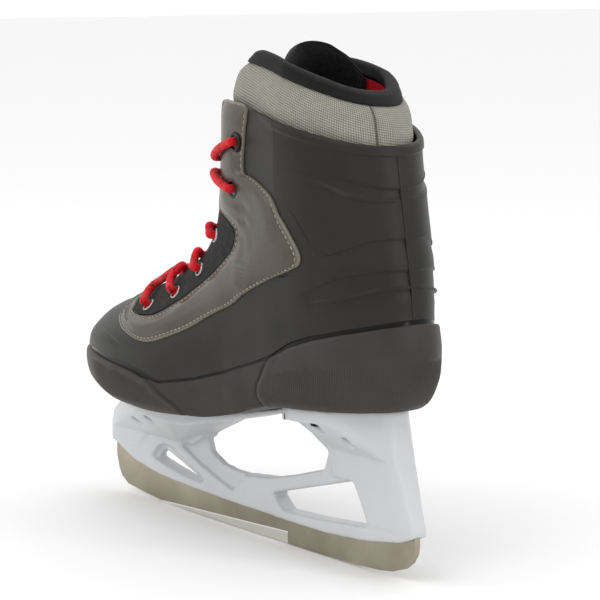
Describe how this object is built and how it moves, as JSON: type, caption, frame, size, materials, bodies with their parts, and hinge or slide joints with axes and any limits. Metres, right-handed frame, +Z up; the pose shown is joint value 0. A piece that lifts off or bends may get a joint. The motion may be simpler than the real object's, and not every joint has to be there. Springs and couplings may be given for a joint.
{
  "type": "ice skate",
  "caption": "Left recreational ice skate: moulded lace-up boot with a sewn liner and padded tongue, on a riveted plastic holder with a steel runner.",
  "frame": {"origin": "middle of the runner's straight running edge, on the ice", "axes": "+X towards the toe, +Y towards the outer side of the foot, +Z up"},
  "size_m": [0.2816, 0.0973, 0.2563],
  "materials": {
    "steel": "brushed, bright running edge",
    "zinc": "zinc plated",
    "holder_plastic": "satin moulded",
    "rivet_steel": "dull",
    "sole_rubber": "satin, ribbed",
    "shell_rubber": "satin moulded",
    "overlay_pu": "glossy coated",
    "facing_nubuck": "matte",
    "eyelet_black": "black",
    "eyelet_gun": "gunmetal",
    "board": "pressed fibre",
    "liner_foam": "covered foam",
    "red_felt": "brushed felt",
    "collar_nylon": "basket weave",
    "binding_tape": "ribbed tape",
    "footbed_foam": "felt top",
    "tongue_mesh": "ribbed mesh",
    "tongue_felt": "fuzzy felt",
    "lace_red": "round braid, black flecks",
    "aglet_plastic": "clear over black"
  },
  "bodies": {
    "skate": {"runner": "steel", "runner_screws": "zinc", "runner_nuts": "zinc", "blade_holder": "holder_plastic", "front_rivets": "rivet_steel", "rear_rivets": "rivet_steel", "rivet_washers": "zinc", "cup_sole": "sole_rubber", "boot_shell": "shell_rubber", "eyestay_overlay": "overlay_pu", "eyelet_facing": "facing_nubuck", "upper_eyelets": "eyelet_black", "lower_eyelets": "eyelet_gun", "insole_board": "board", "liner_body": "liner_foam", "liner_lining": "red_felt", "liner_collar": "collar_nylon", "collar_binding": "binding_tape", "footbed": "footbed_foam", "lace": "lace_red", "lace_aglets": "aglet_plastic"},
    "tongue": {"tongue_face": "tongue_mesh", "tongue_pad": "tongue_felt", "tongue_binding": "binding_tape"}
  },
  "joints": [
    {"name": "tongue_hinge", "type": "hinge", "parent": "skate", "child": "tongue", "pos_m": [0.066, 0, 0.108], "axis": [0, 1, 0], "range_deg": [-6, 0]}
  ]
}
